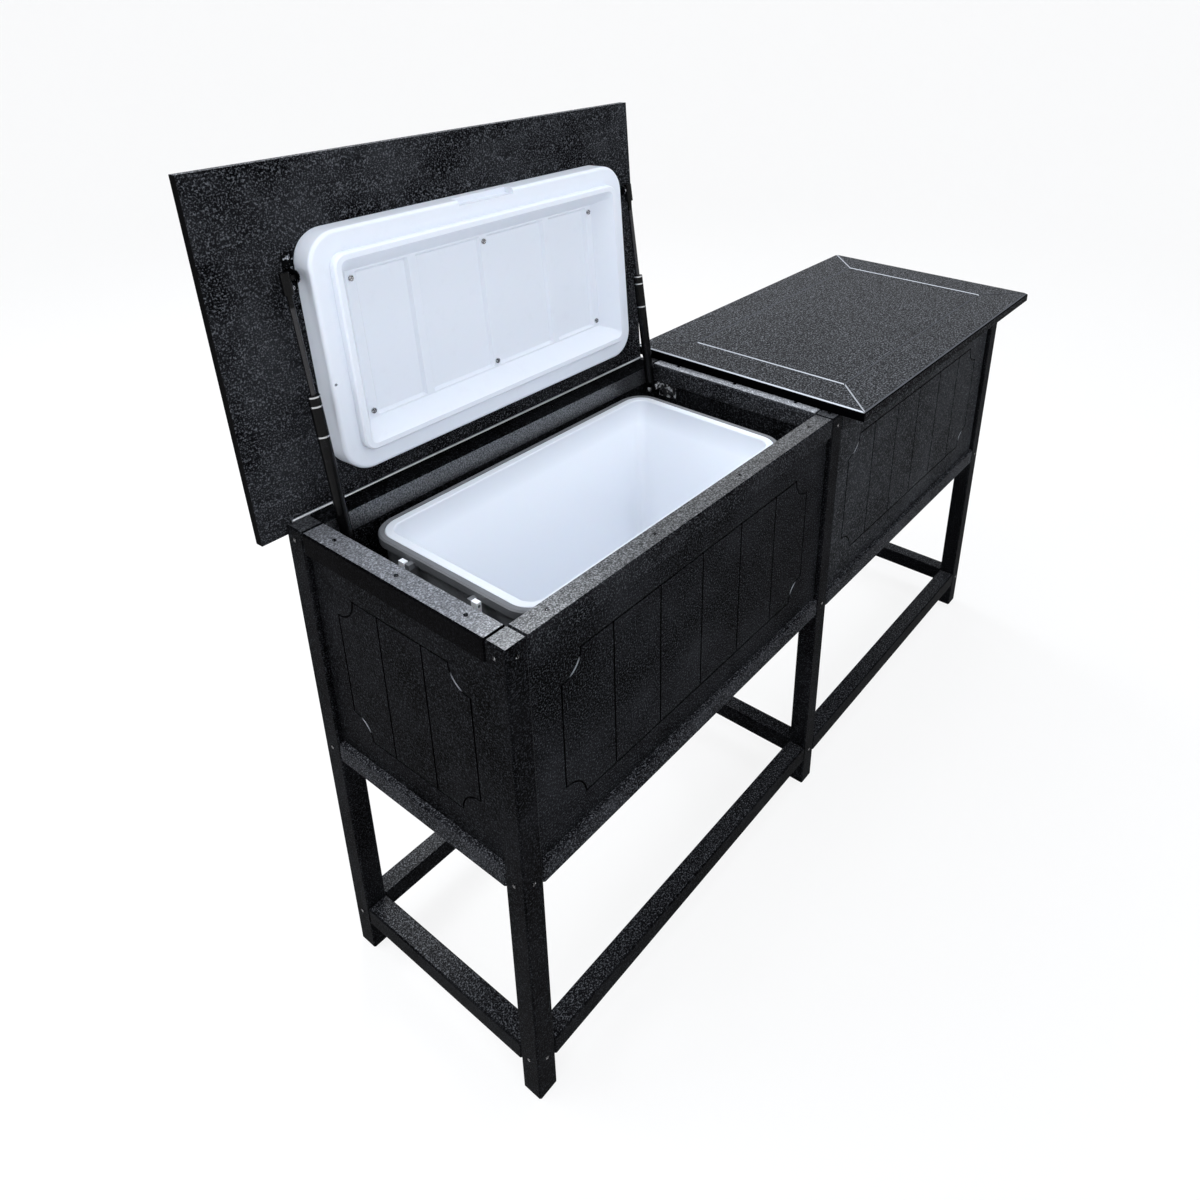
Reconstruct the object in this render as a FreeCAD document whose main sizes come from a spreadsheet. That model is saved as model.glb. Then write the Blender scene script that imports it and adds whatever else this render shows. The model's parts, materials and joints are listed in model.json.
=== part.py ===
"""A long patio side table that holds two drop-in coolers under two hinged lids.

Millimetres, +Z up, +X along the table, -Y to the front. The origin is under the middle of the
whole object, on the floor. The left lid stands open at its stop and the right lid is closed.
"""
import FreeCAD, Part
import math
import os
import re

import Sketcher

Vector = FreeCAD.Vector

LEAST_CUT = 0.001  # cubic millimetres that every cut has to take away
SLACK = 0.01  # millimetres within which two heights are the same

# Driving dimensions, each one independent of the others.
SIZES = {
    # frame
    "lumber": 38.0,                # square section of posts, rails and stretchers
    "lumber_edge": 2.5,            # eased edges of the lumber
    "table_height": 889.0,         # floor to the tops of posts and top rails
    "frame_depth": 457.0,          # front face to back face of the frame
    "bay_length": 768.5,           # clear length between two posts of a bay
    "bottom_rail_top": 492.0,
    "stretcher_centre": 85.5,
    # skirt panels
    "panel_thickness": 19.0,
    "panel_recess": 9.5,           # set back from the face of the frame
    "panel_margin": 48.0,          # routed outline to the rails above and below it
    "front_margin": 62.25,         # routed outline to the posts, front and back panels
    "end_margin": 48.0,            # routed outline to the posts, end panels
    "scoop_radius": 40.0,          # hollow corners of the routed outline
    "routed_width": 3.0,
    "routed_depth": 3.0,
    "front_planks": 6,
    "end_planks": 3,
    # deck under the coolers
    "deck_thickness": 12.7,
    "deck_clearance": 0.5,
    # table lids
    "lid_thickness": 19.0,
    "lid_gap": 1.0,                # between the lids' undersides and the rails
    "lid_spacing": 6.0,            # between the two lids
    "front_overhang": 50.0,
    "back_overhang": 21.0,
    "end_overhang": 38.0,
    "lid_chamfer": 4.0,            # upper edges of the lids
    "frame_border": 90.0,          # width of the picture-frame border of the lids
    "vee_width": 5.0,
    "vee_depth": 2.0,
    "vee_flat": 0.8,               # width of the groove's bottom
    "open_angle": 93.7,
    # hinges
    "barrel_radius": 2.5,
    "pin_radius": 1.25,
    "pin_clearance": 0.05,
    "barrel_clearance": 0.1,       # barrel to the rail behind and to the lid above
    "leaf_thickness": 1.2,
    "leaf_width": 24.0,            # frame leaf, down from the barrel
    "lid_leaf_width": 15.0,        # lid leaf, back from the barrel
    "hinge_end_inset": 50.0,       # from the outer end of a lid to its hinge
    "hinge_inner_inset": 2.5,      # from the inner end of a lid to its hinge
    "knuckles": 3,                 # on each leaf
    "knuckle_gap": 0.3,
    # coolers
    "rim_below_top": 39.0,         # top of a cooler's rim under the tops of the rails
    "rim_end_gap": 58.25,          # rim to the posts
    "rim_front_gap": 54.0,         # rim to the frame's front face
    "rim_back_gap": 47.0,
    "rim_radius": 48.0,
    "rim_height": 15.0,            # depth of the rim's lip
    "rim_lip": 9.5,                # width of the grey rim round the liner
    "rim_bevel": 2.5,
    "shell_inset": 10.0,           # shell wall behind the lip's edge, under the lip
    "shell_wall": 4.0,
    "shell_bevel": 6.0,            # round the bottom of the shell
    "liner_inset": 24.0,           # mouth of the liner behind the lip's edge
    "liner_draft": 1.9,            # degrees
    "liner_wall": 3.0,
    "liner_round": 16.0,           # bottom edges inside the liner
    "mouth_bevel": 1.6,
    "floor_foam": 25.0,            # foam under the liner
    "foam_clearance": 0.3,
    # bail handles
    "bail_spread": 78.0,           # centre of each arm from the cooler's middle
    "bail_arm": 12.0,
    "bail_thickness": 8.0,
    "bail_drop": 70.0,             # pivot to the lower edge of the grip
    "bail_grip": 14.0,
    "bail_standoff": 8.25,         # pivot in front of the lip's edge
    "bail_below_rim": 15.0,        # pivot under the top of the rim
    "bail_pin_radius": 2.5,
    "bail_clearance": 0.3,
    "bail_margin": 2.0,            # top of the arms above the handle's own half thickness
    "lug_width": 9.0,
    "lug_half_height": 4.5,
    "bail_corner": 18.0,
    # cooler lids
    "plug_lid_end_lap": 1.5,       # skirt outside the cooler's rim, at the ends
    "plug_lid_side_lap": 5.0,
    "plug_lid_radius": 48.0,
    "plug_lid_height": 39.0,
    "plug_lid_round": 6.0,
    "plug_depth": 13.0,            # ring that enters the liner, below the lid's skirt
    "plug_end_clearance": 4.0,     # ring to the liner's mouth, at the ends
    "plug_side_clearance": 3.5,    # ring to the liner's mouth, at the long sides
    "plug_wall": 10.0,
    "plug_bevel": 2.5,
    "recess_radius": 12.0,         # corners of the recess, at its mouth
    "recess_floor": 18.0,          # web left over the recess, at the ribs
    "recess_slope": 36.0,          # degrees, walls of the recess
    "field_depth": 5.0,            # hollow fields between the ribs
    "field_slope": 40.0,           # degrees
    "rib_width": 14.0,
    "rib_share": 0.587,            # rib spacing as a share of the half length of the fields
    "field_end_margin": 51.0,      # outer fields to the ends of the plug's ring
    "field_side_margin": 37.5,
    "latch_notch_length": 115.0,
    "latch_notch_depth": 9.0,
    "vent_radius": 2.3,
    "vent_end": 6.5,               # vent hole behind the end of the cooler lid
    "vent_side": 35.0,             # vent hole off the lid's middle
    # gas struts
    "strut_inset": 25.0,           # strut's plane from the post beside it
    "strut_lid_margin": 100.0,     # how much shorter than the frame's depth the lid's lever is
    "strut_lid_drop": 27.0,        # upper pivot below the lid's underside
    "strut_before_back": 55.0,     # lower pivot in front of the frame's back face
    "strut_below_top": 43.0,       # lower pivot under the tops of the rails
    "strut_body_radius": 9.0,
    "strut_body_start": 14.0,      # lower pivot to the bottom of the cylinder
    "strut_rod_shown": 64.0,       # cylinder's end to the upper pivot, lid closed
    "strut_floor": 4.0,
    "rod_radius": 4.0,
    "rod_clearance": 0.08,
    "rod_rest": 24.0,              # lower pivot to the rod's inner end, lid closed
    "socket_radius": 7.5,
    "socket_below": 22.0,          # socket under the upper pivot
    "socket_above": 9.0,
    "eye_radius": 7.5,
    "eye_width": 10.0,
    "stud_radius": 3.0,
    "stud_clearance": 0.08,
    "stud_shoulder": 4.5,          # half the width across the flats of its square shoulder
    "stud_cap": 2.0,
    "stud_gap": 0.3,               # beside the eye, and from the upper stud to the ear
    "bracket_thickness": 2.0,
    "frame_bracket_length": 42.0,
    "frame_bracket_height": 30.0,
    "frame_bracket_behind": 4.0,   # plate behind the stud's centre
    "frame_bracket_above": 4.0,    # plate above the stud's centre
    "lid_bracket_length": 58.0,
    "lid_bracket_width": 16.0,
    "ear_offset": 15.0,            # ear from the strut's plane
    "ear_radius": 9.0,
    # screw heads
    "screw_radius": 3.5,
    "screw_height": 1.0,
    "rail_screw_inset": 53.0,      # first screw of a rail from its post
    "front_rail_screws": 4,
    "end_rail_screws": 3,
    "lid_screw_radius": 4.5,
    "lid_screw_height": 2.2,
    "lid_screw_end_margin": 43.5,  # outer screws to the ends of the plug's ring
    "lid_screw_side_margin": 46.5,
    "bracket_screw_spacing": 43.0,
    "plate_screw_spacing": 26.0,
    "screw_facets": 6,
    "lid_screw_facets": 8,
    # how far a cut starts outside the piece that it enters
    "overshoot": 1.0,
}

# Worked out from the driving dimensions.
DERIVED = {
    "bay_pitch": "bay_length + lumber",
    "frame_length": "2 * bay_length + 3 * lumber",
    "left_bay": "lumber + bay_length / 2",
    "right_bay": "lumber + bay_length / 2 + bay_length + lumber",
    "top_rail_bottom": "table_height - lumber",
    "panel_height": "table_height - lumber - bottom_rail_top",
    "end_panel_length": "frame_depth - 2 * lumber",
    "panel_inner": "panel_recess + panel_thickness",
    "underside": "table_height + lid_gap",
    "hinge_y": "frame_depth + barrel_radius + barrel_clearance",
    "hinge_z": "table_height + lid_gap - barrel_radius - barrel_clearance",
    "lid_lift": "barrel_radius + barrel_clearance",
    "lid_front": "frame_depth + barrel_radius + barrel_clearance + front_overhang",
    "lid_depth": "frame_depth + front_overhang + back_overhang",
    "lid_outer": "bay_length / 2 + lumber + end_overhang",
    "lid_inner": "bay_length / 2 + lumber / 2 - lid_spacing / 2",
    "hinge_length": "bay_length + 1.5 * lumber + end_overhang - lid_spacing / 2"
                    " - hinge_end_inset - hinge_inner_inset",
    "knuckle_pitch": "(bay_length + 1.5 * lumber + end_overhang - lid_spacing / 2"
                     " - hinge_end_inset - hinge_inner_inset) / (2 * knuckles)",
    "vee_draft": "atan((vee_width - vee_flat) / (2 * vee_depth))",
    "deck_top": "bottom_rail_top + deck_thickness",
    "rim_top": "table_height - rim_below_top",
    "cooler_height": "table_height - rim_below_top - bottom_rail_top - deck_thickness",
    "rim_length": "bay_length - 2 * rim_end_gap",
    "rim_width": "frame_depth - rim_front_gap - rim_back_gap",
    "cooler_centre": "(frame_depth + rim_front_gap - rim_back_gap) / 2",
    "liner_floor": "shell_wall + floor_foam",
    "plug_lid_length": "rim_length + 2 * plug_lid_end_lap",
    "plug_lid_width": "rim_width + 2 * plug_lid_side_lap",
    "plug_lid_y": "cooler_centre - frame_depth - barrel_radius - barrel_clearance",
    "plug_ring_length": "rim_length - 2 * liner_inset - 2 * plug_end_clearance",
    "plug_ring_width": "rim_width - 2 * liner_inset - 2 * plug_side_clearance",
    "plug_ring_radius": "rim_radius - liner_inset - plug_end_clearance",
    "recess_top": "plug_lid_height + plug_depth",
    "field_end": "plug_ring_length / 2 - field_end_margin",
    "field_half_width": "plug_ring_width / 2 - field_side_margin",
    "rib_spacing": "field_end * rib_share",
    "lid_screw_end": "plug_ring_length / 2 - lid_screw_end_margin",
    "lid_screw_side": "plug_ring_width / 2 - lid_screw_side_margin",
    "bail_top": "bail_thickness / 2 + bail_margin",
    "strut_x": "bay_length / 2 - strut_inset",
    "strut_setback": "frame_depth - strut_before_back",
    "strut_height": "table_height - strut_below_top",
    "strut_lid_reach": "frame_depth - strut_lid_margin",
    "wall_reach": "lumber + strut_inset - panel_recess - panel_thickness",
    "closed_run": "strut_setback - hinge_y + strut_lid_reach",
    "closed_rise": "underside - strut_lid_drop - strut_height",
    "pivot_lift": "lid_lift - strut_lid_drop",
    "open_run": "strut_setback - hinge_y + strut_lid_reach * cos(open_angle)"
                " - pivot_lift * sin(open_angle)",
    "open_rise": "hinge_z - strut_height + strut_lid_reach * sin(open_angle)"
                 " + pivot_lift * cos(open_angle)",
    "closed_length": "sqrt(closed_run * closed_run + closed_rise * closed_rise)",
    "open_length": "sqrt(open_run * open_run + open_rise * open_rise)",
    "strut_body_end": "closed_length - strut_rod_shown",
    "closed_tilt": "atan2(closed_rise; closed_run)",
    "open_tilt": "atan2(open_rise; open_run)",
    "origin_x": "bay_length + 1.5 * lumber",
    "open_back": "hinge_y + (lid_front - lid_chamfer) * -cos(open_angle)"
                 " + (lid_lift + lid_thickness) * sin(open_angle)",
    "origin_y": "(open_back - front_overhang) / 2",
}

doc = FreeCAD.newDocument("cooler_table")
nodes = []


def fill_sheet(name, cells):
    """Write one aliased cell per entry, and return the sheet."""
    sheet = doc.addObject("Spreadsheet::Sheet", name)
    for row, (alias, content) in enumerate(cells, start=1):
        sheet.set("A%d" % row, alias)
        sheet.set("B%d" % row, content)
        sheet.setAlias("B%d" % row, alias)
        sheet.recompute()
    return sheet


def full(text):
    """Put the name of its sheet before each size named in an expression."""
    def owner(match):
        word = match.group()
        if word in SIZES:
            return "Sizes." + word
        if word in DERIVED:
            return "Derived." + word
        return word
    return re.sub(r"[a-z_]+[a-z0-9_]*", owner, text)


def value(text):
    """The number that an expression gives now."""
    result = sizes_sheet.evalExpression(full(text))
    return float(getattr(result, "Value", result))


sizes_sheet = fill_sheet("Sizes", [(alias, str(number)) for alias, number in SIZES.items()])
fill_sheet("Derived", [
    (alias, "=" + full(text).replace("Derived.", "")) for alias, text in DERIVED.items()
])
doc.recompute()


def bind(thing, **texts):
    """Bind properties of an object to expressions."""
    for name, text in texts.items():
        thing.setExpression(name, full(text))


def place(thing, x="0", y="0", z="0", axis=(0, 0, 1), angle="0"):
    """Bind an object's place and turn, with x and y still measured from the frame's corner."""
    turn = FreeCAD.Rotation(Vector(*axis), max(abs(value(angle)), 1.0))
    thing.Placement = FreeCAD.Placement(Vector(), turn)
    thing.setExpression("Placement.Base.x", full("%s - origin_x" % x))
    thing.setExpression("Placement.Base.y", full("%s - origin_y" % y))
    thing.setExpression("Placement.Base.z", full(z))
    thing.setExpression("Placement.Rotation.Angle", full(angle))


def keep(thing, label):
    """Make an object a named node of the hand-over."""
    thing.Label = label
    nodes.append(thing)
    return thing


def new_body(label):
    return doc.addObject("PartDesign::Body", label + "_body")


def origin_feature(body, role):
    return next(item for item in body.Origin.OriginFeatures if item.Role == role)


def new_sketch(body, role="XY_Plane", lift="0"):
    """A sketch on one of the body's own planes, moved along the plane's normal."""
    sketch = body.newObject("Sketcher::SketchObject", "sketch")
    sketch.AttachmentSupport = [(origin_feature(body, role), "")]
    sketch.MapMode = "FlatFace"
    sketch.setExpression("AttachmentOffset.Base.z", full(lift))
    return sketch


def limit(sketch, text, kind, *where):
    """A constraint whose value is bound to an expression."""
    index = sketch.addConstraint(Sketcher.Constraint(kind, *where, value(text)))
    sketch.setExpression("Constraints[%d]" % index, full(text))


def rectangle(sketch, x0, y0, x1, y1):
    """A rectangle between two corners given as expressions."""
    low = Vector(value(x0), value(y0))
    high = Vector(value(x1), value(y1))
    corners = [low, Vector(high.x, low.y), high, Vector(low.x, high.y)]
    first = sketch.GeometryCount
    for index in range(4):
        sketch.addGeometry(Part.LineSegment(corners[index], corners[(index + 1) % 4]), False)
    for index in range(4):
        after = first + (index + 1) % 4
        sketch.addConstraint(Sketcher.Constraint("Coincident", first + index, 2, after, 1))
    for index in (0, 2):
        sketch.addConstraint(Sketcher.Constraint("Horizontal", first + index))
        sketch.addConstraint(Sketcher.Constraint("Vertical", first + index + 1))
    for point, x, y in ((first, x0, y0), (first + 2, x1, y1)):
        limit(sketch, x, "DistanceX", -1, 1, point, 1)
        limit(sketch, y, "DistanceY", -1, 1, point, 1)


def circle(sketch, x, y, radius):
    centre = Vector(value(x), value(y))
    index = sketch.addGeometry(Part.Circle(centre, Vector(0, 0, 1), value(radius)), False)
    limit(sketch, radius, "Radius", index)
    limit(sketch, x, "DistanceX", -1, 1, index, 3)
    limit(sketch, y, "DistanceY", -1, 1, index, 3)


def cornered(sketch, x0, y0, x1, y1, radius, centre_inset):
    """A rectangle whose corners are quarter arcs.

    Each arc's centre lies centre_inset inside both sides: the radius gives round corners,
    and nothing, or a little outside, gives hollow scoops.
    """
    left, bottom, right, top = value(x0), value(y0), value(x1), value(y1)
    r, c = value(radius), value(centre_inset)
    hollow = c < r / 2
    reach = math.sqrt(r * r - c * c) if hollow else 0.0
    cut = c + reach if hollow else c
    first = sketch.GeometryCount
    lines = [
        (Vector(left + cut, bottom), Vector(right - cut, bottom)),
        (Vector(right, bottom + cut), Vector(right, top - cut)),
        (Vector(right - cut, top), Vector(left + cut, top)),
        (Vector(left, top - cut), Vector(left, bottom + cut)),
    ]
    for start, end in lines:
        sketch.addGeometry(Part.LineSegment(start, end), False)
    centres = [(right - c, bottom + c), (right - c, top - c), (left + c, top - c), (left + c, bottom + c)]
    for index, (x, y) in enumerate(centres):
        start = lines[index][1]
        end = lines[(index + 1) % 4][0]
        begin = math.atan2(start.y - y, start.x - x)
        finish = math.atan2(end.y - y, end.x - x)
        if hollow:
            begin, finish = finish, begin
        if finish < begin:
            finish += 2 * math.pi
        round_edge = Part.Circle(Vector(x, y), Vector(0, 0, 1), r)
        sketch.addGeometry(Part.ArcOfCircle(round_edge, begin, finish), False)
    for index in range(4):
        line, arc, after = first + index, first + 4 + index, first + (index + 1) % 4
        arc_start, arc_end = (2, 1) if hollow else (1, 2)
        if hollow:
            sketch.addConstraint(Sketcher.Constraint("Coincident", line, 2, arc, arc_start))
            sketch.addConstraint(Sketcher.Constraint("Coincident", arc, arc_end, after, 1))
        else:
            sketch.addConstraint(Sketcher.Constraint("Tangent", line, 2, arc, arc_start))
            sketch.addConstraint(Sketcher.Constraint("Tangent", arc, arc_end, after, 1))
    for index in (0, 2):
        sketch.addConstraint(Sketcher.Constraint("Horizontal", first + index))
        sketch.addConstraint(Sketcher.Constraint("Vertical", first + index + 1))
    limit(sketch, y0, "DistanceY", -1, 1, first, 1)
    limit(sketch, x1, "DistanceX", -1, 1, first + 1, 1)
    limit(sketch, y1, "DistanceY", -1, 1, first + 2, 1)
    limit(sketch, x0, "DistanceX", -1, 1, first + 3, 1)
    if not hollow:
        for index in range(4):
            if index == 0:
                limit(sketch, radius, "Radius", first + 4)
            else:
                sketch.addConstraint(Sketcher.Constraint("Equal", first + 4, first + 4 + index))
        return
    limits = [(x1, "-", y0, "+"), (x1, "-", y1, "-"), (x0, "+", y1, "-"), (x0, "+", y0, "+")]
    for index, (x, x_sign, y, y_sign) in enumerate(limits):
        arc = first + 4 + index
        limit(sketch, radius, "Radius", arc)
        limit(sketch, "%s %s (%s)" % (x, x_sign, centre_inset), "DistanceX", -1, 1, arc, 3)
        limit(sketch, "%s %s (%s)" % (y, y_sign, centre_inset), "DistanceY", -1, 1, arc, 3)


def centred_round(sketch, x, y, length, width, radius):
    """A rounded rectangle about a centre."""
    cornered(
        sketch,
        "%s - (%s) / 2" % (x, length), "%s - (%s) / 2" % (y, width),
        "%s + (%s) / 2" % (x, length), "%s + (%s) / 2" % (y, width),
        radius, radius,
    )


def extrude(body, kind, sketch, length, flip=False, both=False, draft=None):
    """A Pad or Pocket of a sketch."""
    feature = body.newObject("PartDesign::" + kind, kind.lower())
    feature.Profile = sketch
    feature.Reversed = flip
    feature.Midplane = both
    feature.Refine = True
    bind(feature, Length=length)
    if draft is not None:
        bind(feature, TaperAngle=draft)
    sketch.Visibility = False
    body.Tip = feature
    return feature


def pad(body, sketch, length, **options):
    return extrude(body, "Pad", sketch, length, **options)


def pocket(body, sketch, length, **options):
    """A cut that is checked to have taken material away."""
    before = body.Tip
    doc.recompute()
    volume = before.Shape.Volume
    feature = extrude(body, "Pocket", sketch, length, **options)
    doc.recompute()
    if feature.Shape.Volume > volume - LEAST_CUT:
        raise RuntimeError("a cut in %s takes nothing away" % body.Name)
    return feature


def edges_where(feature, test):
    """Names of a feature's edges that pass a test."""
    doc.recompute()
    return ["Edge%d" % (index + 1) for index, edge in enumerate(feature.Shape.Edges) if test(edge)]


def dress(body, kind, edges, **texts):
    """A Fillet or Chamfer on the tip's edges: a list of names, or all."""
    base = body.Tip
    feature = body.newObject("PartDesign::" + kind, kind.lower())
    if edges == "all":
        feature.Base = (base, ["Edge1"])
        feature.UseAllEdges = True
    else:
        feature.Base = (base, edges)
    bind(feature, **texts)
    body.Tip = feature
    return feature


def repeat(body, originals, count, spacing):
    """A row of copies along the body's X axis."""
    row = body.newObject("PartDesign::LinearPattern", "row")
    row.Originals = originals
    row.Direction = (origin_feature(body, "X_Axis"), [""])
    row.Mode = "Spacing"
    bind(row, Offset=spacing, Occurrences=count)
    body.Tip = row
    return row


def at_height(z):
    """Test: an edge that lies flat at a height."""
    def test(edge):
        box = edge.BoundBox
        return abs(box.ZMin - z) < SLACK and abs(box.ZMax - z) < SLACK
    return test


def lumber(label, direction, length, x, y, z):
    """One straight square member with eased edges, from its low corner."""
    body = new_body(label)
    roles = {"X": "YZ_Plane", "Y": "XZ_Plane", "Z": "XY_Plane"}
    sketch = new_sketch(body, roles[direction])
    rectangle(sketch, "0", "0", "lumber", "lumber")
    pad(body, sketch, length, flip=direction == "Y")
    dress(body, "Chamfer", "all", Size="lumber_edge")
    place(body, x, y, z)
    return body


def group(label, members):
    """Several separate solids that share one node."""
    together = doc.addObject("Part::Compound", label + "_group")
    together.Links = members
    return keep(together, label)


def frame():
    """Posts, rails and stretchers."""
    columns = {"left": "0", "middle": "bay_pitch", "right": "2 * bay_pitch"}
    rows = {"front": "0", "back": "frame_depth - lumber"}
    bays = {"left": "lumber", "right": "lumber + bay_pitch"}
    for row, y in rows.items():
        for column, x in columns.items():
            label = "post_%s_%s" % (row, column)
            keep(lumber(label, "Z", "table_height", x, y, "0"), label)
        for bay, x in bays.items():
            label = "top_rail_%s_%s" % (row, bay)
            keep(lumber(label, "X", "bay_length", x, y, "top_rail_bottom"), label)
    names = {"left": "end_left", "middle": "middle", "right": "end_right"}
    for column, x in columns.items():
        label = "top_rail_" + names[column]
        keep(lumber(label, "Y", "end_panel_length", x, "lumber", "top_rail_bottom"), label)
    levels = {
        "bottom_rails": "bottom_rail_top - lumber",
        "stretchers": "stretcher_centre - lumber / 2",
    }
    for level, z in levels.items():
        for row, y in rows.items():
            label = "%s_%s" % (level, row)
            parts = [
                lumber("%s_%s" % (label, bay), "X", "bay_length", x, y, z)
                for bay, x in bays.items()
            ]
            group(label, parts)
        parts = [
            lumber("%s_cross_%s" % (level, column), "Y", "end_panel_length", x, "lumber", z)
            for column, x in columns.items()
        ]
        group(level + "_cross", parts)


def panel(label, length, margin, planks, x, y, angle):
    """A skirt board with a routed outline, hollow at its corners, and plank lines inside it."""
    body = new_body(label)
    board = new_sketch(body, "XZ_Plane")
    rectangle(board, "0", "0", length, "panel_height")
    pad(body, board, "panel_thickness", flip=True)
    outline = new_sketch(body, "XZ_Plane")
    for side in ("-", "+"):
        cornered(
            outline,
            "%s %s routed_width / 2" % (margin, side),
            "panel_margin %s routed_width / 2" % side,
            "%s - %s %s routed_width / 2" % (length, margin, "+" if side == "-" else "-"),
            "panel_height - panel_margin %s routed_width / 2" % ("+" if side == "-" else "-"),
            "scoop_radius %s routed_width / 2" % side,
            "0 %s routed_width / 2" % ("+" if side == "-" else "-"),
        )
    pocket(body, outline, "routed_depth")
    line = new_sketch(body, "XZ_Plane")
    plank = "(%s - 2 * %s) / %s" % (length, margin, planks)
    rectangle(
        line,
        "%s + %s - routed_width / 2" % (margin, plank), "panel_margin",
        "%s + %s + routed_width / 2" % (margin, plank), "panel_height - panel_margin",
    )
    cut = pocket(body, line, "routed_depth")
    repeat(body, [cut], "%s - 1" % planks, plank)
    place(body, x, y, "bottom_rail_top", angle=angle)
    return keep(body, label)


def panels():
    """Skirt panels all round and the plain board between the bays."""
    for bay, x in (("left", "lumber"), ("right", "lumber + bay_pitch")):
        panel("panel_front_" + bay, "bay_length", "front_margin", "front_planks",
              x, "panel_recess", "0")
        panel("panel_back_" + bay, "bay_length", "front_margin", "front_planks",
              x + " + bay_length", "frame_depth - panel_recess", "180")
    panel("panel_end_left", "end_panel_length", "end_margin", "end_planks",
          "panel_recess", "frame_depth - lumber", "270")
    panel("panel_end_right", "end_panel_length", "end_margin", "end_planks",
          "frame_length - panel_recess", "lumber", "90")
    divider = new_body("divider_board")
    board = new_sketch(divider, "XZ_Plane")
    rectangle(board, "0", "0", "panel_thickness", "panel_height")
    pad(divider, board, "end_panel_length", flip=True)
    place(divider, "bay_pitch + (lumber - panel_thickness) / 2", "lumber", "bottom_rail_top")
    keep(divider, "divider_board")


def decks():
    """A board under each cooler, carried by the ledges of the bottom rails."""
    boards = []
    for bay, x in (("left", "lumber"), ("right", "lumber + bay_pitch")):
        board = doc.addObject("Part::Box", "deck_" + bay)
        bind(
            board,
            Length="bay_length - 2 * deck_clearance",
            Width="frame_depth - 2 * panel_inner - 2 * deck_clearance",
            Height="deck_thickness",
        )
        place(board, x + " + deck_clearance", "panel_inner + deck_clearance", "bottom_rail_top")
        boards.append(board)
    group("deck_boards", boards)


def on_lid(body, bay):
    """Place a piece that is drawn closed, about the hinge line at the middle of its bay."""
    angle = "open_angle" if bay == "left" else "0"
    place(body, bay + "_bay", "hinge_y", "hinge_z", axis=(-1, 0, 0), angle=angle)


def vee(body, x0, y0, x1, y1):
    """A tapered groove cut down into the lid's top face."""
    sketch = new_sketch(body, lift="lid_lift + lid_thickness")
    rectangle(sketch, x0, y0, x1, y1)
    pocket(body, sketch, "vee_depth", draft="-vee_draft")


def mitre(body, x, y, step_x, step_y):
    """A tapered groove from a corner of the border to the corner of the lid."""
    sketch = new_sketch(body, lift="lid_lift + lid_thickness")
    half = value("vee_width") / 2
    reach = value("frame_border")
    start = Vector(value(x), value(y))
    along = Vector(step_x, step_y).normalize()
    across = Vector(-along.y, along.x) * half
    end = start + along * reach * math.sqrt(2)
    corners = [start - across, end - across, end + across, start + across]
    for index in range(4):
        sketch.addGeometry(Part.LineSegment(corners[index], corners[(index + 1) % 4]), False)
    for index in range(4):
        sketch.addConstraint(Sketcher.Constraint("Coincident", index, 2, (index + 1) % 4, 1))
    sketch.addConstraint(Sketcher.Constraint("Perpendicular", 0, 1))
    sketch.addConstraint(Sketcher.Constraint("Perpendicular", 1, 2))
    sketch.addConstraint(Sketcher.Constraint("Perpendicular", 2, 3))
    centre = sketch.addGeometry(Part.LineSegment(start, end), True)
    sketch.addConstraint(Sketcher.Constraint("Symmetric", 3, 1, 3, 2, centre, 1))
    sketch.addConstraint(Sketcher.Constraint("Symmetric", 1, 1, 1, 2, centre, 2))
    limit(sketch, x, "DistanceX", -1, 1, centre, 1)
    limit(sketch, y, "DistanceY", -1, 1, centre, 1)
    limit(sketch, "%s + %d * frame_border" % (x, step_x), "DistanceX", -1, 1, centre, 2)
    limit(sketch, "%s + %d * frame_border" % (y, step_y), "DistanceY", -1, 1, centre, 2)
    limit(sketch, "vee_width", "Distance", 1)
    pocket(body, sketch, "vee_depth", draft="-vee_draft")


def lid_span(bay):
    """Left and right ends of a table lid, from the middle of its bay."""
    if bay == "left":
        return "-lid_outer", "lid_inner"
    return "-lid_inner", "lid_outer"


def table_lid(bay):
    """The lid board, with a picture-frame groove on top."""
    body = new_body("table_lid_" + bay)
    left, right = lid_span(bay)
    back = "lid_depth - lid_front"
    board = new_sketch(body, lift="lid_lift")
    rectangle(board, left, "-lid_front", right, back)
    slab = pad(body, board, "lid_thickness")
    top = value("lid_lift + lid_thickness")
    dress(body, "Chamfer", edges_where(slab, at_height(top)), Size="lid_chamfer")
    x0, x1 = "%s + frame_border" % left, "%s - frame_border" % right
    y0, y1 = "-lid_front + frame_border", "%s - frame_border" % back
    half = "vee_width / 2"
    for x in (x0, x1):
        vee(body, "%s - %s" % (x, half), "%s - %s" % (y0, half),
            "%s + %s" % (x, half), "%s + %s" % (y1, half))
    for y in (y0, y1):
        vee(body, "%s - %s" % (x0, half), "%s - %s" % (y, half),
            "%s + %s" % (x1, half), "%s + %s" % (y, half))
    for x, step_x in ((x0, -1), (x1, 1)):
        for y, step_y in ((y0, -1), (y1, 1)):
            mitre(body, x, y, step_x, step_y)
    on_lid(body, bay)
    keep(body, "table_lid_" + bay)


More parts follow.
